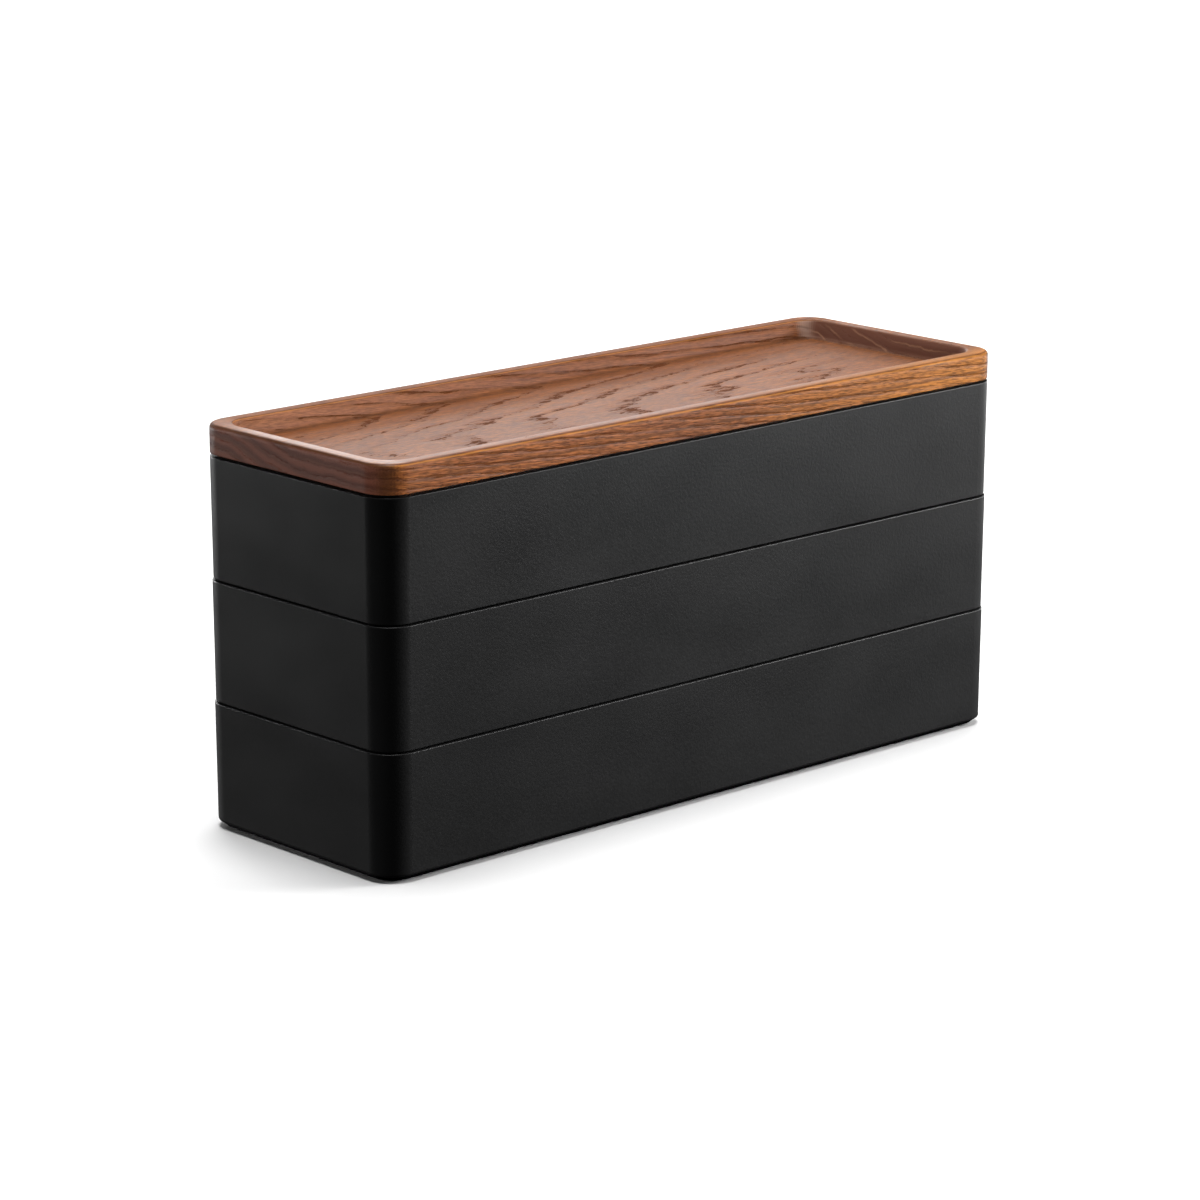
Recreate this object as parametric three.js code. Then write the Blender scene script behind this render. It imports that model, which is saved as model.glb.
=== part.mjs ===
// Stackable accessory case: three moulded trays, one on another, under a routed wooden lid.
// Millimetres, +Z up. X runs along the case, the front faces -Y, and it stands on z = 0.

import * as THREE from 'three';

// Driving dimensions of the closed case.
const LENGTH = 250;
const DEPTH = 83;
const HEIGHT = 120;
const CORNER_RADIUS = 9;
const CORNER_STEPS = 6;

// Share of a round edge's radius that its middle point keeps from both faces.
const ROUND_SHARE = 1 - Math.SQRT1_2;

// Tray moulding.
const TRAY_LEVELS = ['lower', 'middle', 'upper'];
const TRAY_PITCH = 36.4;
const WALL = 2;
const DRAFT = 0.3;
const FLOOR = 2;
const FOOT_HEIGHT = 1;
const FOOT_INSET = 2.6;
const FOOT_WIDTH = 4;
const FOOT_RECESS = 0.6;
const RIM_EASE = 0.4;
const HEM_EASE = 0.3;
const FLOOR_FILLET = 1.5;

// Wooden lid.
const LID_RIM = 5;
const LID_RECESS = 6;
const LID_RECESS_RADIUS = 8;
const LID_SLOPE = 2;
const LID_FILLET = 1.6;
const LID_EASE = 0.6;
const LID_GROOVE = 0.7;
const LID_GROOVE_INSET = 1;
const LID_STEP = 1.6;
const LID_STEP_INSET = 2.6;

// Velour pads and ring rolls.
const LINING = 1.2;
const LINING_INSET = 4.2;
const LINING_EASE = 0.3;
const ROLL_COUNT = 7;
const ROLL_WIDTH = 13;
const ROLL_HEIGHT = 16;
const ROLL_LENGTH = 74;
const ROLL_GAP = 0.4;
const ROLL_START = -121.4;
const ROLL_ROUND = 3;
const ROLL_FOOT_ROUND = 1.2;
const ROLL_DOME_STEPS = 8;
const ROLL_END_STEPS = 2;

// Dividers.
const DIVIDER_SPAN = 77;
const DIVIDER_PLATE = 2;
const DIVIDER_FLANGE = 16;
const DIVIDER_FLANGE_THICK = 1.6;
const DIVIDER_HEIGHT = 27;
const UPPER_DIVIDER_X = -19.5;
const STRIP = 1.8;
const STRIP_HEIGHT = 25;
const LONG_STRIP = 243;
const CROSS_STRIPS = 3;
const CROSS_PITCH = 61.5;
const SLOT_CLEARANCE = 0.3;

// Non-slip pads under the lowest tray.
const PAD_RADIUS = 5.5;
const PAD_PROUD = 0.3;
const PAD_EASE = 0.2;
const PAD_STEPS = 20;
const PAD_X = 104;
const PAD_Y = 27;

// Levels that follow from the sizes above. A tray's own zero is the underside of its foot.
const FLOOR_TOP = FOOT_RECESS + FLOOR;
const LINING_TOP = FLOOR_TOP + LINING;
const TRAY_TOP = FOOT_HEIGHT + TRAY_PITCH;
const LID_BOTTOM = PAD_PROUD + FOOT_HEIGHT + TRAY_LEVELS.length * TRAY_PITCH;
const LID_THICK = HEIGHT - LID_BOTTOM;

const FINISHES = {
  walnut: new THREE.MeshStandardMaterial({ color: 0x7a4a2e, roughness: 0.5, metalness: 0 }),
  blackPlastic: new THREE.MeshStandardMaterial({ color: 0x1c1c1d, roughness: 0.6, metalness: 0 }),
  velour: new THREE.MeshStandardMaterial({ color: 0x2f2d2c, roughness: 0.95, metalness: 0 }),
  rubber: new THREE.MeshStandardMaterial({ color: 0x161616, roughness: 0.85, metalness: 0 }),
};

// The case's plan outline, moved inwards by inset, as points that run anticlockwise from above.
function planOutline(inset, r = CORNER_RADIUS - inset) {
  const x = LENGTH / 2 - inset;
  const y = DEPTH / 2 - inset;
  const corners = [[x - r, y - r], [r - x, y - r], [r - x, r - y], [x - r, r - y]];
  return corners.flatMap(([cx, cy], quarter) => {
    const start = quarter * Math.PI / 2;
    return new THREE.EllipseCurve(cx, cy, r, r, start, start + Math.PI / 2).getPoints(CORNER_STEPS);
  });
}

// A solid skinned over a row of outlines with equal counts of points, closed flat at both ends.
// Seen from the end of the row, the outlines run anticlockwise. place gives a point of outline i in space.
function skin(outlines, place) {
  const count = outlines[0].length;
  const last = (outlines.length - 1) * count;
  const triangles = [];
  for (let row = 0; row < last; row += count) {
    for (let j = 0; j < count; j += 1) {
      const a = row + j;
      const b = row + (j + 1) % count;
      triangles.push(a, b, b + count, a, b + count, a + count);
    }
  }
  THREE.ShapeUtils.triangulateShape(outlines[0], []).forEach(([a, b, c]) => triangles.push(a, c, b));
  THREE.ShapeUtils.triangulateShape(outlines.at(-1), []).forEach(([a, b, c]) => {
    triangles.push(last + a, last + b, last + c);
  });
  const positions = outlines.flatMap((outline, i) => outline.flatMap((point) => place(point, i)));
  const geometry = new THREE.BufferGeometry();
  geometry.setAttribute('position', new THREE.Float32BufferAttribute(positions, 3));
  geometry.setIndex(triangles);
  return geometry;
}

// A solid through plan outlines at a list of [inset, z] levels, some with a corner radius of their own.
// The list starts under the piece, climbs its outside and ends on its top or its inner floor.
function loft(levels) {
  const outlines = levels.map(([inset, , radius]) => planOutline(inset, radius));
  return skin(outlines, (point, i) => [point.x, point.y, levels[i][1]]);
}

// A flat outline of [x, z] points, drawn in the upright plane and given a thickness along Y.
function uprightPlate(points, thickness) {
  const shape = new THREE.Shape(points.map(([x, z]) => new THREE.Vector2(x, z)));
  const geometry = new THREE.ExtrudeGeometry(shape, { depth: thickness, bevelEnabled: false });
  return geometry.rotateX(Math.PI / 2).translate(0, thickness / 2, 0);
}

// One-piece tray with drafted walls, eased rim and hem, and a hollow foot that nests in the tray below.
function trayShell() {
  const innerFoot = FOOT_INSET + FOOT_WIDTH;
  return loft([
    [innerFoot, FOOT_RECESS],
    [innerFoot, 0],
    [FOOT_INSET, 0],
    [FOOT_INSET, FOOT_HEIGHT],
    [DRAFT + HEM_EASE, FOOT_HEIGHT],
    [DRAFT, FOOT_HEIGHT + HEM_EASE],
    [0, TRAY_TOP - RIM_EASE],
    [RIM_EASE, TRAY_TOP],
    [WALL - HEM_EASE, TRAY_TOP],
    [WALL, TRAY_TOP - HEM_EASE],
    [WALL + DRAFT, FLOOR_TOP + FLOOR_FILLET],
    [WALL + DRAFT + ROUND_SHARE * FLOOR_FILLET, FLOOR_TOP + ROUND_SHARE * FLOOR_FILLET],
    [WALL + DRAFT + FLOOR_FILLET, FLOOR_TOP],
  ]);
}

// Lid routed from one board: a rim round a shallow recess with wide corners. A shadow groove runs under
// its outer edge, and a step below drops into the tray's mouth.
function lidBoard() {
  const recessFloor = LID_THICK - LID_RECESS;
  const slopeFoot = LID_RIM + LID_SLOPE;
  const recessLevel = (inset, z) => [inset, z, LID_RECESS_RADIUS + LID_RIM - inset];
  return loft([
    [LID_STEP_INSET + HEM_EASE, -LID_STEP],
    [LID_STEP_INSET, HEM_EASE - LID_STEP],
    [LID_STEP_INSET, 0],
    [LID_GROOVE_INSET, 0],
    [LID_GROOVE_INSET, LID_GROOVE],
    [HEM_EASE, LID_GROOVE],
    [0, LID_GROOVE + HEM_EASE],
    [0, LID_THICK - LID_EASE],
    [LID_EASE, LID_THICK],
    recessLevel(LID_RIM - HEM_EASE, LID_THICK),
    recessLevel(LID_RIM, LID_THICK - HEM_EASE),
    recessLevel(slopeFoot, recessFloor + LID_FILLET),
    recessLevel(slopeFoot + ROUND_SHARE * LID_FILLET, recessFloor + ROUND_SHARE * LID_FILLET),
    recessLevel(slopeFoot + LID_FILLET, recessFloor),
  ]);
}

// Foam pad covered in velour, cut a little smaller than the tray's floor.
function liningPad() {
  return loft([
    [LINING_INSET, FLOOR_TOP],
    [LINING_INSET, LINING_TOP - LINING_EASE],
    [LINING_INSET + LINING_EASE, LINING_TOP],
  ]);
}

// Section of a ring roll, drawn in by inset: flat underneath, domed above.
function rollSection(inset) {
  const half = ROLL_WIDTH / 2 - inset;
  const dome = new THREE.EllipseCurve(0, ROLL_HEIGHT - ROLL_WIDTH / 2, half, half, 0, Math.PI);
  return [
    new THREE.Vector2(ROLL_FOOT_ROUND - half, 0),
    new THREE.Vector2(half - ROLL_FOOT_ROUND, 0),
    new THREE.Vector2(half, ROLL_FOOT_ROUND),
    ...dome.getPoints(ROLL_DOME_STEPS),
    new THREE.Vector2(-half, ROLL_FOOT_ROUND),
  ];
}

// Foam roll wrapped in velour, along Y, with rounded ends.
function ringRoll() {
  const end = ROLL_LENGTH / 2;
  const round = Array.from({ length: ROLL_END_STEPS + 1 }, (_, i) => {
    const turn = i * Math.PI / 2 / ROLL_END_STEPS;
    return [ROLL_ROUND * (1 - Math.sin(turn)), end - ROLL_ROUND * (1 - Math.cos(turn))];
  });
  const stations = [...round, ...[...round].reverse().map(([inset, y]) => [inset, -y])];
  const sections = stations.map(([inset]) => rollSection(inset));
  return skin(sections, (point, i) => [point.x, stations[i][1], point.y]);
}

// Divider with a T-shaped section, standing on its flange across the tray.
function teeDivider() {
  const plate = DIVIDER_PLATE / 2;
  const flange = DIVIDER_FLANGE / 2;
  return uprightPlate([
    [-flange, 0],
    [flange, 0],
    [flange, DIVIDER_FLANGE_THICK],
    [plate, DIVIDER_FLANGE_THICK],
    [plate, DIVIDER_HEIGHT],
    [-plate, DIVIDER_HEIGHT],
    [-plate, DIVIDER_FLANGE_THICK],
    [-flange, DIVIDER_FLANGE_THICK],
  ], DIVIDER_SPAN);
}

// Places of the cross strips along the middle tray.
const crossPlaces = Array.from(
  { length: CROSS_STRIPS },
  (_, i) => (i - (CROSS_STRIPS - 1) / 2) * CROSS_PITCH,
);
const slotHalf = STRIP / 2 + SLOT_CLEARANCE;

// Lengthwise strip, slotted from above for the cross strips.
function longStrip() {
  const end = LONG_STRIP / 2;
  const slotFloor = STRIP_HEIGHT / 2 - SLOT_CLEARANCE;
  const slots = [...crossPlaces].reverse().flatMap((x) => [
    [x + slotHalf, STRIP_HEIGHT],
    [x + slotHalf, slotFloor],
    [x - slotHalf, slotFloor],
    [x - slotHalf, STRIP_HEIGHT],
  ]);
  return uprightPlate([[-end, 0], [end, 0], [end, STRIP_HEIGHT], ...slots, [-end, STRIP_HEIGHT]], STRIP);
}

// Cross strip, slotted from below, turned to run along Y.
function crossStrip() {
  const end = DIVIDER_SPAN / 2;
  const slotRoof = STRIP_HEIGHT / 2 + SLOT_CLEARANCE;
  return uprightPlate([
    [-end, 0],
    [-slotHalf, 0],
    [-slotHalf, slotRoof],
    [slotHalf, slotRoof],
    [slotHalf, 0],
    [end, 0],
    [end, STRIP_HEIGHT],
    [-end, STRIP_HEIGHT],
  ], STRIP).rotateZ(Math.PI / 2);
}

// Round pad stuck in the hollow of the foot, standing a little proud of it.
function footPad() {
  const shape = new THREE.Shape();
  shape.absarc(0, 0, PAD_RADIUS, 0, 2 * Math.PI, false);
  const geometry = new THREE.ExtrudeGeometry(shape, {
    depth: FOOT_RECESS + PAD_PROUD - 2 * PAD_EASE,
    curveSegments: PAD_STEPS,
    bevelThickness: PAD_EASE,
    bevelSize: PAD_EASE,
    bevelOffset: -PAD_EASE,
    bevelSegments: 1,
  });
  return geometry.translate(0, 0, PAD_EASE - PAD_PROUD);
}

// A named piece, added to the group that carries it.
function addPiece(group, name, geometry, finish, x = 0, y = 0, z = 0) {
  const mesh = new THREE.Mesh(geometry, finish);
  mesh.name = name;
  mesh.position.set(x, y, z);
  group.add(mesh);
}

const { walnut, blackPlastic, velour, rubber } = FINISHES;
const accessoryCase = new THREE.Group();

// Trays from the bottom up, each in a group of its own with its lining.
const [lowerTray, middleTray, upperTray] = TRAY_LEVELS.map((level, i) => {
  const tray = new THREE.Group();
  tray.position.z = PAD_PROUD + i * TRAY_PITCH;
  addPiece(tray, `${level}_tray`, trayShell(), blackPlastic);
  addPiece(tray, `${level}_lining`, liningPad(), velour);
  accessoryCase.add(tray);
  return tray;
});

// Lower tray: one sliding divider inside, four pads underneath.
addPiece(lowerTray, 'lower_divider', teeDivider(), blackPlastic, 0, 0, LINING_TOP);
[[-1, -1], [1, -1], [1, 1], [-1, 1]].forEach(([sx, sy], i) => {
  addPiece(lowerTray, `foot_pad_${i + 1}`, footPad(), rubber, sx * PAD_X, sy * PAD_Y);
});

// Middle tray: a grid of half-lapped strips.
addPiece(middleTray, 'middle_long_divider', longStrip(), blackPlastic, 0, 0, LINING_TOP);
crossPlaces.forEach((x, i) => {
  addPiece(middleTray, `middle_cross_divider_${i + 1}`, crossStrip(), blackPlastic, x, 0, LINING_TOP);
});

// Upper tray: ring rolls at the left end, held by a sliding divider.
for (let i = 0; i < ROLL_COUNT; i += 1) {
  const x = ROLL_START + ROLL_WIDTH / 2 + i * (ROLL_WIDTH + ROLL_GAP);
  addPiece(upperTray, `ring_roll_${i + 1}`, ringRoll(), velour, x, 0, LINING_TOP);
}
addPiece(upperTray, 'upper_divider', teeDivider(), blackPlastic, UPPER_DIVIDER_X, 0, LINING_TOP);

// Lid on the upper tray's rim.
addPiece(accessoryCase, 'lid_tray', lidBoard(), walnut, 0, 0, LID_BOTTOM);

export default accessoryCase;
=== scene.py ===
# Stackable accessory case: three black trays, one on another, under a lid routed from stained wood.
# Metres, +Z up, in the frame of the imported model.

import math

import bmesh
import bpy
from mathutils import Matrix, Vector, noise


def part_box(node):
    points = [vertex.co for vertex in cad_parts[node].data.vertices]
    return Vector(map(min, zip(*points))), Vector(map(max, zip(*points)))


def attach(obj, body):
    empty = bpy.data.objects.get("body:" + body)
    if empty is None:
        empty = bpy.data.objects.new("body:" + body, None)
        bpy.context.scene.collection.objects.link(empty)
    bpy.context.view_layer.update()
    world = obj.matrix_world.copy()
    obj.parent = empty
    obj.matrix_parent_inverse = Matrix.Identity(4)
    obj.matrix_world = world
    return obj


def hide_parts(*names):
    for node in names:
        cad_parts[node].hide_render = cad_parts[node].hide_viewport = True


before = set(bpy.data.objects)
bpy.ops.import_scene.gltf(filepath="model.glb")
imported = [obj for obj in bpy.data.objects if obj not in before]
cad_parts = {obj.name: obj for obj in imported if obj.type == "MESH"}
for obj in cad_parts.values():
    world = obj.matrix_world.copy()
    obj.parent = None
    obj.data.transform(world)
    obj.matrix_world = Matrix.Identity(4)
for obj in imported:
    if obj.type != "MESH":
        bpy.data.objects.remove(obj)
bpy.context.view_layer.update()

# Trays: three like mouldings in matte black plastic, each of one piece with slightly drafted walls.
# The mould leaves a fine even grain, and a dull one on the foot, which is stepped in underneath and
# nests in the mouth of the tray below. A thin dark joint shows between the walls; the faces in it and
# the foot are coloured near black, as painted shade.

mm = 0.001
tray_low, tray_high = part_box("lower_tray")
half_length = tray_high.x
half_depth = tray_high.y
tray_height = tray_high.z - tray_low.z
case_corner = 9 * mm
tray_wall = 2 * mm
tray_draft = 0.3 * mm
tray_floor = 2.6 * mm
foot_height = 1 * mm
foot_inset = 2.6 * mm
foot_inner = 6.6 * mm
foot_hollow = 0.6 * mm
seam_gap = 0.55 * mm
seam_depth = 1.6 * mm
corner_steps = 16
round_steps = 5


def plan_ring(inset, z, corner=None, side_steps=1):
    """Points of the case's plan outline, moved inwards, anticlockwise from the back right corner."""
    radius = max(case_corner - inset if corner is None else corner, 0.4 * mm)
    x, y = half_length - inset - radius, half_depth - inset - radius
    centres = [(x, y), (-x, y), (-x, -y), (x, -y)]
    ring = []
    for quarter, (cx, cy) in enumerate(centres):
        for step in range(corner_steps + 1):
            turn = (quarter + step / corner_steps) * math.pi / 2
            ring.append(Vector((cx + radius * math.cos(turn), cy + radius * math.sin(turn), z)))
        nx, ny = centres[(quarter + 1) % 4]
        turn = (quarter + 1) * math.pi / 2
        after = Vector((nx + radius * math.cos(turn), ny + radius * math.sin(turn), z))
        ring += [ring[-1].lerp(after, i / side_steps) for i in range(1, side_steps)]
    return ring


def ease_profile(corners):
    """A profile of (inset, z, ease) corners, each rounded over its ease to both sides."""
    profile = [corners[0][:2]]
    for before, here, after in zip(corners, corners[1:], corners[2:]):
        point = Vector(here[:2])
        start = point + (Vector(before[:2]) - point).normalized() * here[2]
        end = point + (Vector(after[:2]) - point).normalized() * here[2]
        for step in range(round_steps + 1):
            s = step / round_steps
            profile.append(start.lerp(point, s).lerp(point.lerp(end, s), s))
    profile.append(corners[-1][:2])
    return profile


def skin_piece(name, rings):
    """A closed mesh over a row of rings with equal counts of points, smooth but flat where it is flat."""
    count = len(rings[0])
    faces = [list(range(count))[::-1]]
    for row in range(0, (len(rings) - 1) * count, count):
        for i in range(count):
            j = (i + 1) % count
            faces.append([row + i, row + j, row + j + count, row + i + count])
    faces.append([(len(rings) - 1) * count + i for i in range(count)])
    mesh = bpy.data.meshes.new(name)
    mesh.from_pydata([point for ring in rings for point in ring], [], faces)
    return smooth_piece(name, mesh)


def smooth_piece(name, mesh):
    """Puts a mesh into the scene with smooth shading that leaves its broad faces flat."""
    mesh.polygons.foreach_set("use_smooth", [True] * len(mesh.polygons))
    piece = bpy.data.objects.new(name, mesh)
    bpy.context.scene.collection.objects.link(piece)
    piece.modifiers.new("flat faces stay flat", "WEIGHTED_NORMAL").weight = 100
    return piece


def start_material(name):
    """A new material: itself, its node tree and its main shader."""
    material = bpy.data.materials.new(name)
    material.use_nodes = True
    return material, material.node_tree, material.node_tree.nodes["Principled BSDF"]


def add_node(tree, kind, inputs, **settings):
    """Adds a shader node. Each input, by name or number, is linked if it is a socket and else set."""
    node = tree.nodes.new("ShaderNode" + kind)
    for key, value in settings.items():
        setattr(node, key, value)
    for key, value in inputs.items():
        if isinstance(value, bpy.types.NodeSocket):
            tree.links.new(value, node.inputs[key])
        else:
            node.inputs[key].default_value = value
    return node


def maths(tree, operation, *values):
    """A Math node's result."""
    return add_node(tree, "Math", dict(enumerate(values)), operation=operation).outputs[0]


def object_place(tree, sizes):
    """The place on the piece, counted in features of these sizes along X, Y and Z."""
    place = add_node(tree, "TexCoord", {}).outputs["Object"]
    counts = Vector([1 / size for size in sizes])
    return add_node(tree, "VectorMath", {0: place, 1: counts}, operation="MULTIPLY").outputs[0]


def speckle(tree, sizes, detail=2.0, roughness=0.5):
    """Noise from 0 to 1 with features of these sizes."""
    inputs = {"Vector": object_place(tree, sizes), "Scale": 1.0, "Detail": detail, "Roughness": roughness}
    return add_node(tree, "TexNoise", inputs).outputs[0]


def blend_colours(tree, share, first, second, blend="MIX"):
    """Two colours mixed by a share from 0 to 1."""
    inputs = {0: share, 6: first, 7: second}
    return add_node(tree, "Mix", inputs, data_type="RGBA", blend_type=blend).outputs[2]


def spread(tree, value, low, high, to_low=0.0, to_high=1.0, kind="SMOOTHSTEP"):
    """A value moved from one range to another, held at its ends."""
    inputs = {0: value, 1: low, 2: high, 3: to_low, 4: to_high}
    return add_node(tree, "MapRange", inputs, interpolation_type=kind).outputs[0]


def relief(tree, height, depth, strength=1.0):
    """A bump from a height of 0 to 1 over a depth in metres."""
    return add_node(tree, "Bump", {"Height": height, "Distance": depth, "Strength": strength}).outputs[0]


mould_grain_size = 0.8 * mm
mould_grain_depth = 0.06 * mm

black_plastic, tree, shader = start_material("black_plastic")
mould_grain = speckle(tree, (mould_grain_size,) * 3, detail=3.0, roughness=0.6)
sheen_clouds = speckle(tree, (35 * mm, 35 * mm, 20 * mm), detail=3.0)
plastic_tone = maths(tree, "MULTIPLY_ADD", mould_grain, 0.5, maths(tree, "MULTIPLY", sheen_clouds, 0.5))
plastic_colour = blend_colours(tree, plastic_tone, (0.0125, 0.0125, 0.0128, 1), (0.0225, 0.0225, 0.0230, 1))
tree.links.new(plastic_colour, shader.inputs["Base Color"])
tree.links.new(spread(tree, plastic_tone, 0.25, 0.75, 0.36, 0.46), shader.inputs["Roughness"])
shader.inputs["Specular IOR Level"].default_value = 0.33

# The mould is smoother at the ends than along the sides.
wall_facing = add_node(tree, "NewGeometry", {}).outputs["True Normal"]
facing_x = add_node(tree, "SeparateXYZ", {0: wall_facing}).outputs[0]
grain_share = spread(tree, maths(tree, "ABSOLUTE", facing_x), 0.4, 0.95, 1.0, 0.4)
grain_height = maths(tree, "MULTIPLY", mould_grain, grain_share)
tree.links.new(relief(tree, grain_height, mould_grain_depth, 0.8), shader.inputs["Normal"])

# The dull plastic's near-black colour is painted shade for the joint and the foot.
dull_painted_shade_plastic, tree, shader = start_material("dull_painted_shade_plastic")
eroded_grain = speckle(tree, (0.25 * mm,) * 3, detail=3.0)
painted_shade_colour = blend_colours(tree, eroded_grain, (0.0004, 0.0004, 0.0004, 1), (0.0016, 0.0016, 0.0016, 1))
tree.links.new(painted_shade_colour, shader.inputs["Base Color"])
tree.links.new(spread(tree, eroded_grain, 0.3, 0.7, 0.8, 0.95), shader.inputs["Roughness"])
tree.links.new(relief(tree, eroded_grain, 0.05 * mm), shader.inputs["Normal"])
shader.inputs["Specular IOR Level"].default_value = 0.05

# The bottom edge of the lower tray stands free and is rounded more than the edges at the joints.
wall_foot = foot_height + seam_gap
wall_eases = {"lower": 0.9 * mm, "middle": 0.25 * mm, "upper": 0.25 * mm}

for level, wall_ease in wall_eases.items():
    foot_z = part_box(f"{level}_tray")[0].z
    profile = ease_profile([
        (foot_inner + 2 * mm, foot_hollow),
        (foot_inner, foot_hollow, 0.25 * mm),
        (foot_inner, 0, 0.25 * mm),
        (foot_inset, 0, 0.4 * mm),
        (foot_inset, foot_height, 0.3 * mm),
        (seam_depth, foot_height, 0.1 * mm),
        (seam_depth, wall_foot, 0.1 * mm),
        (tray_draft, wall_foot, wall_ease),
        (0, tray_height, 0.3 * mm),
        (tray_wall, tray_height, 0.35 * mm),
        (tray_wall + tray_draft, tray_floor, 1.6 * mm),
        (tray_wall + 6 * mm, tray_floor),
    ])
    tray = skin_piece(f"{level}_tray_moulding", [plan_ring(inset, foot_z + z) for inset, z in profile])
    tray.data.materials.append(black_plastic)
    tray.data.materials.append(dull_painted_shade_plastic)
    # Faces under the wall, in the joint and on the foot, take the painted shade.
    for face in tray.data.polygons:
        under_wall = face.center.z < foot_z + wall_foot - 0.01 * mm
        face.material_index = 1 if under_wall else 0
    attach(tray, level)
    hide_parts(f"{level}_tray")

# Foot pads: round non-slip pads of black rubber, stuck in the hollow of the lower tray's foot.
# They stand a little proud of the foot and carry the case.

pad_ease = 0.25 * mm
pad_steps = 48
rubber, tree, shader = start_material("pad_rubber")
pad_dust = speckle(tree, (0.6 * mm,) * 3, detail=4.0)
rubber_colour = blend_colours(tree, pad_dust, (0.012, 0.012, 0.012, 1), (0.03, 0.029, 0.028, 1))
tree.links.new(rubber_colour, shader.inputs["Base Color"])
tree.links.new(spread(tree, pad_dust, 0.3, 0.7, 0.75, 0.92), shader.inputs["Roughness"])
tree.links.new(relief(tree, pad_dust, 0.05 * mm), shader.inputs["Normal"])


def round_ring(centre, radius, z):
    """A level circle of points."""
    turns = [2 * math.pi * i / pad_steps for i in range(pad_steps)]
    return [Vector((centre.x + radius * math.cos(t), centre.y + radius * math.sin(t), z)) for t in turns]


for number in range(1, 5):
    low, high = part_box(f"foot_pad_{number}")
    centre, radius = (low + high) / 2, (high.x - low.x) / 2
    profile = ease_profile([
        (radius / 2, low.z),
        (0, low.z, pad_ease),
        (0, high.z, pad_ease / 2),
        (radius / 2, high.z),
    ])
    pad = skin_piece(f"foot_pad_{number}_rubber", [round_ring(centre, radius - i, z) for i, z in profile])
    pad.data.materials.append(rubber)
    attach(pad, "lower")
    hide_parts(f"foot_pad_{number}")

# Linings: thin foam pads covered in charcoal velour, laid loose on the floors of the trays.
# The foam gives the cover a soft edge and a slightly uneven top.

lining_ease = 0.8 * mm
lining_swell = 0.12 * mm
lining_swell_size = 14 * mm
lining_border = 2 * mm
lining_insets = (2.5 * mm, 6 * mm, 11 * mm, 17 * mm, 24 * mm, 31 * mm)
lining_side_steps = 20

velour, tree, shader = start_material("velour")
pile = speckle(tree, (0.35 * mm,) * 3, detail=3.0, roughness=0.7)
brushed_patches = speckle(tree, (16 * mm, 10 * mm, 10 * mm), detail=3.0)
velour_tone = maths(tree, "MULTIPLY_ADD", pile, 0.45, maths(tree, "MULTIPLY", brushed_patches, 0.55))
velour_colour = blend_colours(
    tree, spread(tree, velour_tone, 0.3, 0.7), (0.042, 0.040, 0.039, 1), (0.105, 0.101, 0.098, 1))
tree.links.new(velour_colour, shader.inputs["Base Color"])
shader.inputs["Roughness"].default_value = 0.9
shader.inputs["Sheen Weight"].default_value = 0.6
shader.inputs["Sheen Roughness"].default_value = 0.4
shader.inputs["Sheen Tint"].default_value = (0.55, 0.53, 0.52, 1)
tree.links.new(relief(tree, pile, 0.15 * mm, 0.8), shader.inputs["Normal"])


def uneven(point, size, height):
    """A soft random height at a place, never above zero."""
    return -height * (0.5 + 0.5 * noise.noise(point / size))


for level in ("lower", "middle", "upper"):
    low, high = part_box(f"{level}_lining")
    edge = half_length - high.x
    border = edge + lining_border
    profile = ease_profile([(edge, low.z), (edge, high.z, lining_ease), (border, high.z)])
    profile += [(border + inset, high.z) for inset in lining_insets]
    rings = [plan_ring(inset, z, side_steps=lining_side_steps) for inset, z in profile]
    for ring in rings[round_steps:]:
        for point in ring:
            point.z += uneven(point, lining_swell_size, lining_swell)
    lining = skin_piece(f"{level}_lining_velour", rings)
    lining.data.materials.append(velour)
    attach(lining, level)
    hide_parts(f"{level}_lining")

# Dividers: loose plates in the same black plastic with a T-shaped section. Each stands on its flange
# across a tray, on the lining, and slides along the tray by hand.

divider_ease = 0.35 * mm
divider_plate = 2 * mm
divider_flange = 1.6 * mm


def plate_piece(name, outline, thickness, place, along_y=False):
    """An upright plate: an outline of (x, z) points made thick along Y, with all its edges rounded."""
    shape = bmesh.new()
    front = shape.faces.new([shape.verts.new((x, -thickness / 2, z)) for x, z in outline])
    back = bmesh.ops.extrude_face_region(shape, geom=[front])["geom"]
    moved = [part for part in back if isinstance(part, bmesh.types.BMVert)]
    bmesh.ops.translate(shape, verts=moved, vec=(0, thickness, 0))
    bmesh.ops.recalc_face_normals(shape, faces=shape.faces)
    bmesh.ops.bevel(shape, geom=shape.edges, offset=divider_ease, segments=3, profile=0.5, affect="EDGES")
    turn = Matrix.Rotation(math.pi / 2, 4, "Z") if along_y else Matrix.Identity(4)
    bmesh.ops.transform(shape, matrix=Matrix.Translation(place) @ turn, verts=shape.verts)
    mesh = bpy.data.meshes.new(name)
    shape.to_mesh(mesh)
    shape.free()
    piece = smooth_piece(name, mesh)
    piece.data.materials.append(black_plastic)
    return piece


for level in ("lower", "upper"):
    low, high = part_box(f"{level}_divider")
    height, flange, plate = high.z - low.z, (high.x - low.x) / 2, divider_plate / 2
    outline = [
        (-flange, 0),
        (flange, 0),
        (flange, divider_flange),
        (plate, divider_flange),
        (plate, height),
        (-plate, height),
        (-plate, divider_flange),
        (-flange, divider_flange),
    ]
    middle = (low + high) / 2
    divider = plate_piece(f"{level}_divider_plate", outline, high.y - low.y, (middle.x, middle.y, low.z))
    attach(divider, f"{level}_divider")
    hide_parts(f"{level}_divider")

# Grid of the middle tray: one long strip and three cross strips of black plastic, half-lapped.
# The long strip is slotted from above and the cross strips from below.

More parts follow.
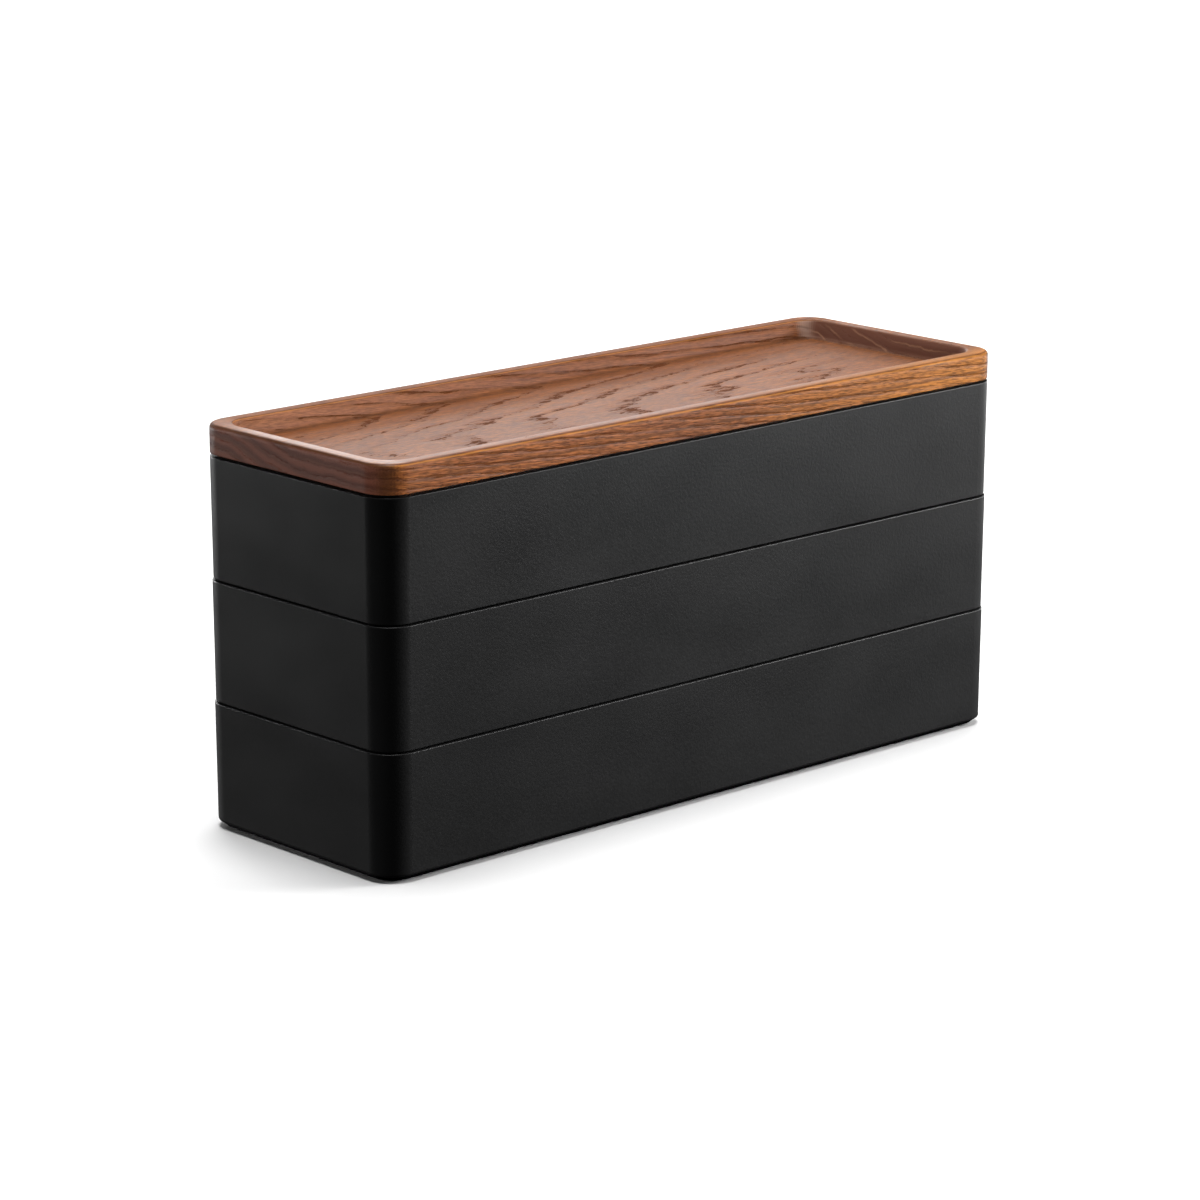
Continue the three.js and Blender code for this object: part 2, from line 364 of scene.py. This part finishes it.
slot_play = 0.3 * mm
long_low, long_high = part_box("middle_long_divider")
strip = long_high.y - long_low.y
strip_height = long_high.z - long_low.z
cross_names = [f"middle_cross_divider_{number}" for number in (1, 2, 3)]
cross_places = [(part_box(name)[0].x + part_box(name)[1].x) / 2 for name in cross_names]
slot = strip / 2 + slot_play

long_outline = [(long_low.x, 0), (long_high.x, 0), (long_high.x, strip_height)]
for x in reversed(cross_places):
    slot_floor = strip_height / 2 - slot_play
    long_outline += [
        (x + slot, strip_height), (x + slot, slot_floor), (x - slot, slot_floor), (x - slot, strip_height)]
long_outline.append((long_low.x, strip_height))
long_strip = plate_piece("middle_long_strip", long_outline, strip, (0, 0, long_low.z))
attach(long_strip, "middle")
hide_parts("middle_long_divider")

for name, x in zip(cross_names, cross_places):
    low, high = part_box(name)
    slot_roof = strip_height / 2 + slot_play
    outline = [
        (low.y, 0),
        (-slot, 0),
        (-slot, slot_roof),
        (slot, slot_roof),
        (slot, 0),
        (high.y, 0),
        (high.y, strip_height),
        (low.y, strip_height),
    ]
    cross = plate_piece(name.replace("divider", "strip"), outline, strip, (x, 0, low.z), along_y=True)
    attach(cross, "middle")
    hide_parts(name)

# Ring rolls: soft foam rolls wrapped in the same velour, lying side by side in the upper tray.
# Rings are pressed into the gaps between them. The cover is gathered into pleats at the ends.

roll_end = 5 * mm
roll_tip = 0.07
roll_wrinkle = 0.25 * mm
roll_wrinkle_size = 7 * mm
roll_section_steps = 40
roll_length_steps = 44
pleats = 11
pleat_depth = 0.16

for number in range(1, 8):
    low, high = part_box(f"ring_roll_{number}")
    half_width, length = (high.x - low.x) / 2, high.y - low.y
    axis_x, axis_z = (low.x + high.x) / 2, high.z - half_width
    rings = []
    for step in range(roll_length_steps + 1):
        turn = math.pi * (step / roll_length_steps - 0.5)
        y = -math.sin(turn) * length / 2
        into_end = max(0.0, (abs(y) - (length / 2 - roll_end)) / roll_end)
        narrow = math.sqrt(max(0.0, 1 - into_end ** 2)) * (1 - roll_tip) + roll_tip
        ring = []
        for i in range(roll_section_steps):
            around = 2 * math.pi * i / roll_section_steps
            gather = 1 - pleat_depth * into_end * (0.5 + 0.5 * math.cos(pleats * around + number))
            across = half_width * narrow * gather * math.cos(around)
            half_height = half_width if math.sin(around) > 0 else axis_z - low.z
            up = math.sin(around) * narrow * gather * half_height
            point = Vector((axis_x + across, y, axis_z + up))
            wrinkle = uneven(point + Vector((0, 0, number)), roll_wrinkle_size, roll_wrinkle) / half_width
            ring.append(Vector((
                axis_x + across * (1 + wrinkle), y, max(low.z, axis_z + up * (1 + wrinkle)))))
        rings.append(ring)
    roll = skin_piece(f"ring_roll_{number}_velour", rings)
    roll.data.materials.append(velour)
    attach(roll, "upper")
    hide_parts(f"ring_roll_{number}")

# Lid: one board of open-pored wood, stained walnut brown and finished satin. It is routed into a
# shallow tray with sloping inner walls. A shadow groove runs under its edge, and a step below drops
# into the mouth of the upper tray.

lid_low, lid_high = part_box("lid_tray")
lid_step = 1.6 * mm
lid_step_inset = 2.6 * mm
lid_groove = 0.8 * mm
lid_groove_inset = 2.1 * mm
lid_rim = 5 * mm
lid_recess = 6 * mm
lid_recess_corner = 8 * mm
lid_slope = 2 * mm
lid_fillet = 1.6 * mm
lid_edge = 1.7 * mm
lid_inner_edge = 0.5 * mm
lid_sanded = 1.8 * mm
lid_sanded_fall = 0.1 * mm
lid_under = lid_low.z + lid_step
lid_top = lid_high.z
recess_floor = lid_top - lid_recess

ring_gap = 2.75 * mm
ring_start = 1 * mm
ring_tilt = 0.085
ring_bend = 0.14
ring_rise_left, ring_rise_right = 0.245, 0.32
ring_knee = -2 * mm
ring_knee_round = 1.3 * mm
ring_sway = 3.9 * mm
ring_fray = 1.0 * mm
pore_dip = 0.07
end_ring_gap = 3.8 * mm

stained_wood, tree, shader = start_material("stained_wood")
place = add_node(tree, "TexCoord", {}).outputs["Object"]
place_x, place_y, place_z = add_node(tree, "SeparateXYZ", {0: place}).outputs
over_floor = maths(tree, "SUBTRACT", place_z, recess_floor)

# Growth rings are bent sheets through the board. Their level falls along X, more slowly at the right,
# and rises behind the knee.
ring_rise = spread(tree, place_x, 0.0, half_length, ring_rise_left, ring_rise_right)
past_knee = maths(tree, "MULTIPLY", maths(tree, "SUBTRACT", place_y, ring_knee), ring_rise)
rise = maths(tree, "SMOOTH_MAX", past_knee, 0.0, ring_knee_round)
sway = maths(tree, "SUBTRACT", speckle(tree, (70 * mm, 16 * mm, 16 * mm)), 0.5)
fray = maths(tree, "SUBTRACT", speckle(tree, (9 * mm, 2.5 * mm, 2.5 * mm)), 0.5)
along = maths(tree, "SUBTRACT", place_x, ring_start)
past_start = maths(tree, "MAXIMUM", along, 0.0)
bent = maths(tree, "MULTIPLY", maths(tree, "MULTIPLY", past_start, past_start), ring_bend)
ring_level = maths(tree, "SUBTRACT", maths(tree, "SUBTRACT", over_floor, rise), bent)
ring_level = maths(tree, "MULTIPLY_ADD", along, ring_tilt, ring_level)
ring_level = maths(tree, "MULTIPLY_ADD", sway, ring_sway, ring_level)
ring_level = maths(tree, "MULTIPLY_ADD", fray, ring_fray, ring_level)
in_ring = maths(tree, "FRACT", maths(tree, "DIVIDE", ring_level, ring_gap))

# Which way the surface faces tells the long sides, the ends and the walls of the recess apart.
facing = add_node(tree, "NewGeometry", {}).outputs
facing_x, facing_y = add_node(tree, "SeparateXYZ", {0: facing["True Normal"]}).outputs[:2]
facing_up = add_node(tree, "SeparateXYZ", {0: facing["Normal"]}).outputs[2]
outward_x = maths(tree, "MULTIPLY", facing_x, place_x)
outward = spread(tree, maths(tree, "MULTIPLY_ADD", facing_y, place_y, outward_x), -1 * mm, 1 * mm)
long_side = maths(tree, "MULTIPLY", spread(tree, maths(tree, "ABSOLUTE", facing_y), 0.5, 0.9), outward)
end_facing = maths(tree, "ABSOLUTE", facing_x)
end_grain = spread(tree, end_facing, 0.3, 0.95)
level_face = spread(tree, facing_up, 0.8, 0.95)

# Early wood is the dark start of each ring. It shows least on the sanded rim, and on the floor of the
# recess near the ends of the board.
ring_strength = spread(tree, speckle(tree, (30 * mm, 9 * mm, 9 * mm)), 0.35, 0.6, 0.6, 1.05)
near_end = spread(tree, maths(tree, "ABSOLUTE", place_x), 60 * mm, 105 * mm, 0.0, 0.5)
rim_height = spread(tree, place_z, lid_top - 1.2 * mm, lid_top - 0.3 * mm)
fading = maths(tree, "MAXIMUM", near_end, maths(tree, "MULTIPLY", rim_height, 0.65))
faded = maths(tree, "SUBTRACT", 1.0, maths(tree, "MULTIPLY", fading, level_face))
ring_strength = maths(tree, "MULTIPLY", ring_strength, faded)
early_wood = maths(tree, "MULTIPLY", spread(tree, in_ring, 0.5, 0.96), ring_strength)

# Open pores are dashes along the grain, thick in the early wood of each ring and rare elsewhere.
pore_z = maths(tree, "MULTIPLY_ADD", place_x, pore_dip, place_z)
pore_place = add_node(tree, "CombineXYZ", {0: place_x, 1: place_y, 2: pore_z}).outputs[0]


def pore_noise(length, width, height):
    """Noise drawn out along the grain, from 0 to 1."""
    counts = Vector((1 / length, 1 / width, 1 / height))
    counted = add_node(tree, "VectorMath", {0: pore_place, 1: counts}, operation="MULTIPLY").outputs[0]
    inputs = {"Vector": counted, "Scale": 1.0, "Detail": 2.0, "Roughness": 0.6}
    return add_node(tree, "TexNoise", inputs).outputs[0]


dashes = pore_noise(9 * mm, 1.6 * mm, 0.32 * mm)
fine_pores = pore_noise(3 * mm, 0.45 * mm, 0.2 * mm)
pore_field = maths(tree, "MULTIPLY_ADD", dashes, 0.72, maths(tree, "MULTIPLY", fine_pores, 0.28))
bare_limit = spread(tree, long_side, 0.0, 1.0, 0.74, 0.68, kind="LINEAR")
pore_limit = maths(tree, "MULTIPLY_ADD", early_wood, -0.28, bare_limit)
pores = spread(tree, maths(tree, "SUBTRACT", pore_field, pore_limit), 0.0, 0.035)
fibres = pore_noise(16 * mm, 0.8 * mm, 0.4 * mm)
fibre_share = spread(tree, fibres, 0.3, 0.7)
clouds = speckle(tree, (80 * mm, 25 * mm, 25 * mm), detail=2.0)
dots = pore_noise(3.2 * mm, 0.4 * mm, 0.26 * mm)

# The front is painted lighter and more golden towards the right, and the back wall of the recess lighter
# towards the left: both are painted light. The stain takes dark in the pores.
late_colour = blend_colours(tree, fibre_share, (0.155, 0.046, 0.0135, 1), (0.285, 0.095, 0.022, 1))
# The front's golden right is painted light.
golden_painted_right = spread(tree, place_x, -20 * mm, 115 * mm, 0.0, 0.9)
golden_painted_light_share = maths(tree, "MULTIPLY", golden_painted_right, spread(tree, place_y, -30 * mm, -40 * mm))
# The back wall's lighter left is painted light.
pale_painted_left = spread(tree, place_x, 10 * mm, -110 * mm, 0.0, 0.7)
far_back = spread(tree, place_y, 30 * mm, 34 * mm)
back_wall = maths(tree, "MULTIPLY", far_back, spread(tree, facing_up, 0.8, 0.6))
late_colour = blend_colours(tree, golden_painted_light_share, late_colour, (0.510, 0.186, 0.021, 1))
pale_painted_light_share = maths(tree, "MULTIPLY", pale_painted_left, back_wall)
late_colour = blend_colours(tree, pale_painted_light_share, late_colour, (0.390, 0.158, 0.072, 1))
early_colour = blend_colours(tree, fibre_share, (0.090, 0.029, 0.011, 1), (0.170, 0.058, 0.019, 1))
wood_colour = blend_colours(tree, maths(tree, "MULTIPLY", early_wood, 0.35), late_colour, early_colour)
cloud_share = spread(tree, clouds, 0.35, 0.65, 0.0, 0.35)
cloud_share = maths(tree, "MULTIPLY_ADD", long_side, 0.14, cloud_share)
wood_colour = blend_colours(tree, cloud_share, wood_colour, (0.115, 0.036, 0.014, 1))
dot_tone = spread(tree, dots, 0.3, 0.7, 0.45, 1.45)
dot_share = spread(tree, maths(tree, "MAXIMUM", level_face, back_wall), 0.0, 1.0, 1.0, 0.5)
wood_colour = blend_colours(tree, dot_share, wood_colour, dot_tone, blend="MULTIPLY")
pore_stain = spread(tree, long_side, 0.0, 1.0, 0.95, 0.45, kind="LINEAR")
pore_share = maths(tree, "MULTIPLY", pores, pore_stain)
pore_colour = blend_colours(tree, long_side, (0.105, 0.031, 0.009, 1), (0.080, 0.025, 0.010, 1))
wood_colour = blend_colours(tree, pore_share, wood_colour, pore_colour)

# The fillet round the floor of the recess is coloured darker.
fillet_dark_foot = spread(tree, over_floor, 0.0, 0.3 * mm)
fillet_dark_head = spread(tree, over_floor, 0.5 * mm, 1.3 * mm, 0.6, 0.0)
fillet_darkening = maths(tree, "MULTIPLY", fillet_dark_foot, fillet_dark_head)
wood_colour = blend_colours(tree, fillet_darkening, wood_colour, (0.085, 0.029, 0.009, 1))

# A golden band on the rounded outer edge is painted light, and a dark line beside it is painted shade.
top_edge = spread(tree, place_z, lid_top - 2.2 * mm, lid_top - 1.6 * mm)
lit_edge_start = maths(tree, "MULTIPLY", spread(tree, facing_up, 0.38, 0.5), top_edge)
edge_painted_light = maths(tree, "MULTIPLY", lit_edge_start, spread(tree, facing_up, 0.66, 0.8, 0.5, 0.0))
edge_shade_start = maths(tree, "MULTIPLY", spread(tree, facing_up, 0.7, 0.85), top_edge)
edge_painted_shade = maths(tree, "MULTIPLY", edge_shade_start, spread(tree, facing_up, 0.93, 0.99, 0.6, 0.0))
wood_colour = blend_colours(tree, edge_painted_light, wood_colour, (0.480, 0.200, 0.042, 1))
wood_colour = blend_colours(tree, edge_painted_shade, wood_colour, (0.075, 0.024, 0.009, 1))

# End grain drinks more stain: it is much darker, with broad paler bands and thin pale lines, which
# show most on the right wall of the recess. That wall is also painted lighter, as painted light, and the
# rounded outer corners are painted darker, as painted shade.
end_ring = maths(tree, "FRACT", maths(tree, "DIVIDE", ring_level, end_ring_gap))
end_band = spread(tree, maths(tree, "PINGPONG", end_ring, 0.5), 0.1, 0.45, 0.2, 0.8)
end_tone = maths(tree, "MULTIPLY_ADD", maths(tree, "SUBTRACT", dots, 0.5), 1.6, end_band)
end_colour = blend_colours(tree, end_tone, (0.054, 0.020, 0.0135, 1), (0.123, 0.044, 0.028, 1))
inward = maths(tree, "SUBTRACT", 1.0, outward)
right_wall = maths(tree, "MULTIPLY", spread(tree, place_x, -60 * mm, 110 * mm), inward)
# The right wall of the recess is painted lighter: painted light.
end_painted_light = maths(tree, "MULTIPLY", right_wall, 0.85)
end_colour = blend_colours(tree, end_painted_light, end_colour, (0.190, 0.083, 0.055, 1))
line_patches = spread(tree, speckle(tree, (50 * mm, 14 * mm, 5 * mm)), 0.38, 0.58)
line_share = maths(tree, "MULTIPLY", line_patches, spread(tree, right_wall, 0.0, 1.0, 0.06, 0.8))
line_place = maths(tree, "PINGPONG", maths(tree, "ADD", end_ring, 0.1), 0.5)
end_lines = maths(tree, "MULTIPLY", spread(tree, line_place, 0.0, 0.12, 1.0, 0.0), line_share)
end_colour = blend_colours(tree, end_lines, end_colour, (0.360, 0.185, 0.110, 1))
wood_colour = blend_colours(tree, end_grain, wood_colour, end_colour)
# The rounded outer corners are painted darker: painted shade.
corner_shade_start = maths(tree, "MULTIPLY", spread(tree, end_facing, 0.15, 0.6), outward)
corner_painted_shade = maths(tree, "MULTIPLY", corner_shade_start, spread(tree, end_facing, 0.75, 0.97, 0.7, 0.0))
wood_colour = blend_colours(tree, corner_painted_shade, wood_colour, (0.040, 0.014, 0.005, 1))

# A pale patch in the recess's back right corner is a painted highlight.
far_right = spread(tree, place_x, 60 * mm, 80 * mm)
back_right = maths(tree, "MULTIPLY", far_right, spread(tree, place_y, 0.0, 10 * mm))
corner_wall = maths(tree, "MULTIPLY", inward, spread(tree, facing_up, 0.45, 0.7, 1.0, 0.0))
corner_highlight_start = maths(tree, "MULTIPLY", spread(tree, end_facing, 0.05, 0.55), corner_wall)
corner_painted_highlight = maths(tree, "MULTIPLY", corner_highlight_start, spread(tree, end_facing, 0.6, 0.88, 0.85, 0.0))
corner_painted_highlight = maths(tree, "MULTIPLY", corner_painted_highlight, back_right)
wood_colour = blend_colours(tree, corner_painted_highlight, wood_colour, (0.360, 0.235, 0.180, 1))

# The shadow groove under the edge is painted black, as painted shade.
groove_roof = lid_under + lid_groove
under_roof = spread(tree, place_z, groove_roof - 0.15 * mm, groove_roof - 0.05 * mm, 1.0, 0.0)
over_step = spread(tree, place_z, lid_under - 0.3 * mm, lid_under - 0.1 * mm)
groove_painted_shade = maths(tree, "MULTIPLY", under_roof, over_step)
wood_colour = blend_colours(tree, groove_painted_shade, wood_colour, (0.002, 0.002, 0.002, 1))
tree.links.new(wood_colour, shader.inputs["Base Color"])
shader.inputs["Specular IOR Level"].default_value = 0.16

# The finish is satin. It is duller in the pores and smoother on the rim, most of all along the front.
dullness = maths(tree, "MAXIMUM", pores, maths(tree, "MULTIPLY", early_wood, 0.12))
satin = spread(tree, fibres, 0.3, 0.7, 0.50, 0.55)
left_polish = spread(tree, place_x, -114 * mm, -119 * mm, 0.0, 0.08)
polish = maths(tree, "ADD", left_polish, spread(tree, place_y, 15 * mm, 37 * mm, 0.08, -0.12))
rim_polish = maths(tree, "MULTIPLY", rim_height, polish)
wood_roughness = maths(tree, "MULTIPLY_ADD", dullness, 0.45, maths(tree, "SUBTRACT", satin, rim_polish))
tree.links.new(wood_roughness, shader.inputs["Roughness"])

# Pores and early wood lie low and the fibres stand up, less so on the end grain.
fibre_height = maths(tree, "MULTIPLY", fibres, 0.2)
pore_depth = maths(tree, "MULTIPLY", pores, 0.8)
wood_height = maths(tree, "SUBTRACT", fibre_height, pore_depth)
wood_height = maths(tree, "MULTIPLY_ADD", dots, 0.08, wood_height)
wood_height = maths(tree, "MULTIPLY_ADD", early_wood, -0.9, wood_height)
wood_height = maths(tree, "MULTIPLY", wood_height, spread(tree, end_grain, 0.0, 1.0, 1.0, 0.3))
tree.links.new(relief(tree, wood_height, 0.3 * mm, 0.9), shader.inputs["Normal"])


def lid_ring(inset, z):
    """The lid's plan outline: the case's outline on the outside, and wide corners in the recess."""
    in_recess = inset > lid_rim / 2 and z > lid_under
    return plan_ring(inset, z, corner=lid_recess_corner + lid_rim - inset if in_recess else None)


lid_profile = ease_profile([
    (lid_step_inset + 3 * mm, lid_low.z),
    (lid_step_inset, lid_low.z, 0.3 * mm),
    (lid_step_inset, lid_under, 0.3 * mm),
    (lid_groove_inset, lid_under, 0.1 * mm),
    (lid_groove_inset, lid_under + lid_groove, 0.1 * mm),
    (0, lid_under + lid_groove, 0.3 * mm),
    (0, lid_top, lid_edge),
    (lid_rim - lid_sanded, lid_top, 0.5 * mm),
    (lid_rim, lid_top - lid_sanded_fall, lid_inner_edge),
    (lid_rim + lid_slope, recess_floor, lid_fillet),
    (lid_rim + lid_slope + 4 * mm, recess_floor),
])
lid = skin_piece("lid_board", [lid_ring(inset, z) for inset, z in lid_profile])
lid.data.materials.append(stained_wood)
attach(lid, "lid")
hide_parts("lid_tray")

# Floor: one wide pale sheet under the case. It curves up far away on all sides, so that it fills the
# view from any side.

floor_flat = 4.5
floor_reach = 9.0
floor_rise = 3.5
floor_steps = 96
floor_rise_steps = 12
floor_lift = 0.22
lift_start, lift_end = 0.3, 1.3

paper, tree, shader = start_material("pale_floor")
paper_tone = speckle(tree, (0.3, 0.3, 0.3), detail=2.0)
paper_colour = blend_colours(tree, paper_tone, (0.92, 0.92, 0.92, 1), (0.94, 0.94, 0.94, 1))
tree.links.new(paper_colour, shader.inputs["Base Color"])
shader.inputs["Roughness"].default_value = 0.9
shader.inputs["Specular IOR Level"].default_value = 0.1

# Away from the case the sheet is lifted to white where it is looked at. It lights nothing that way.
seen = add_node(tree, "LightPath", {}).outputs
seen_straight = maths(tree, "MAXIMUM", seen["Is Camera Ray"], seen["Is Transmission Ray"])
seen_at_all = maths(tree, "MAXIMUM", seen_straight, seen["Is Glossy Ray"])
shader.inputs["Emission Color"].default_value = (1, 1, 1, 1)
floor_place = add_node(tree, "TexCoord", {}).outputs["Object"]
from_case = add_node(tree, "VectorMath", {0: floor_place}, operation="LENGTH").outputs["Value"]
lift = spread(tree, from_case, lift_start, lift_end, 0.0, floor_lift)
tree.links.new(maths(tree, "MULTIPLY", seen_at_all, lift), shader.inputs["Emission Strength"])

floor_mesh = bpy.data.meshes.new("floor")
floor_shape = bmesh.new()
bmesh.ops.create_circle(floor_shape, cap_ends=True, segments=floor_steps, radius=floor_flat)
edge = [e for e in floor_shape.edges if e.is_boundary]
for step in range(1, floor_rise_steps + 1):
    turn = step / floor_rise_steps * math.pi / 2
    radius = floor_flat + (floor_reach - floor_flat) * math.sin(turn)
    grown = bmesh.ops.extrude_edge_only(floor_shape, edges=edge)["geom"]
    edge = [part for part in grown if isinstance(part, bmesh.types.BMEdge)]
    for vert in {v for e in edge for v in e.verts}:
        flat = Vector((vert.co.x, vert.co.y, 0)).normalized() * radius
        vert.co = flat + Vector((0, 0, floor_rise * (1 - math.cos(turn))))
floor_shape.to_mesh(floor_mesh)
floor_shape.free()
floor_mesh.polygons.foreach_set("use_smooth", [True] * len(floor_mesh.polygons))
floor = bpy.data.objects.new("floor", floor_mesh)
bpy.context.scene.collection.objects.link(floor)
floor.data.materials.append(paper)

# The case neither mirrors the sheet nor takes light from it, which keeps its near corner dark.
floor.visible_glossy = False
floor.visible_diffuse = False

# Light: a soft sky straight above, and softboxes round the case. The plastic gets its tone from those
# at the front right, the right end and the back left, and the wood its sheen from those behind.

target = Vector((0, 0, 0.06))


def softbox(name, place, width, height, power):
    """An area lamp that faces the case."""
    lamp = bpy.data.lights.new(name, "AREA")
    lamp.shape = "RECTANGLE"
    lamp.size, lamp.size_y, lamp.energy = width, height, power
    box = bpy.data.objects.new(name, lamp)
    bpy.context.scene.collection.objects.link(box)
    box.location = place
    box.rotation_euler = (target - Vector(place)).to_track_quat("-Z", "Y").to_euler()
    box.visible_camera = False
    return box


softbox("front_right_softbox", (1.25, -0.95, 0.28), 0.6, 0.5, 11.4)
softbox("right_softbox", (0.62, -0.44, 0.34), 0.25, 0.25, 4.0)
softbox("right_end_softbox", (1.15, 0.15, 0.055), 0.5, 0.1, 4.0)
softbox("back_left_softbox", (-0.485, 1.97, 0.1), 0.66, 0.2, 20.0)
softbox("back_softbox", (0.75, 0.85, 1.2), 1.2, 0.9, 12.0)
softbox("low_back_softbox", (0.76, 1.25, 0.42), 0.9, 0.4, 6.0)

# Two more are fills that leave no highlight. The second one lights the lid alone.
left_softbox = softbox("left_softbox", (-1.2, 0.9, 0.2), 0.6, 0.4, 5.0)
left_softbox.visible_glossy = False
lid_softbox = softbox("lid_softbox", (-0.95, -1.2, 0.15), 1.0, 0.3, 17.0)
lid_softbox.visible_glossy = False
lit_by_lid_softbox = bpy.data.collections.new("lit_by_lid_softbox")
lit_by_lid_softbox.objects.link(lid)
lid_softbox.light_linking.receiver_collection = lit_by_lid_softbox

sky = bpy.data.lights.new("overhead_sky", "SUN")
sky.energy = 2.7
sky.angle = math.radians(25)
sky_lamp = bpy.data.objects.new("overhead_sky", sky)
bpy.context.scene.collection.objects.link(sky_lamp)

world = bpy.data.worlds.new("studio")
bpy.context.scene.world = world
world.use_nodes = True
backdrop = world.node_tree.nodes["Background"]
backdrop.inputs["Color"].default_value = (1, 1, 1, 1)
backdrop.inputs["Strength"].default_value = 0.02

# Camera: a long lens where the photographer stood, at the left of the front and a little above the
# case. It has no shift and no depth of field.

camera_place = Vector((-0.8389, -0.8912, 0.3660))
camera_azimuth = math.radians(43.06)
camera_pitch = math.radians(14.32)
camera_roll = math.radians(0.11)

camera_data = bpy.data.cameras.new("camera")
camera_data.sensor_width = 36
camera_data.lens = 125.6
camera = bpy.data.objects.new("camera", camera_data)
bpy.context.scene.collection.objects.link(camera)
sight = Vector((
    math.sin(camera_azimuth) * math.cos(camera_pitch),
    math.cos(camera_azimuth) * math.cos(camera_pitch),
    -math.sin(camera_pitch),
))
aim = sight.to_track_quat("-Z", "Y").to_matrix().to_4x4()
camera.matrix_world = Matrix.Translation(camera_place) @ aim @ Matrix.Rotation(camera_roll, 4, "Z")
bpy.context.scene.camera = camera
bpy.context.scene.view_settings.view_transform = "Standard"
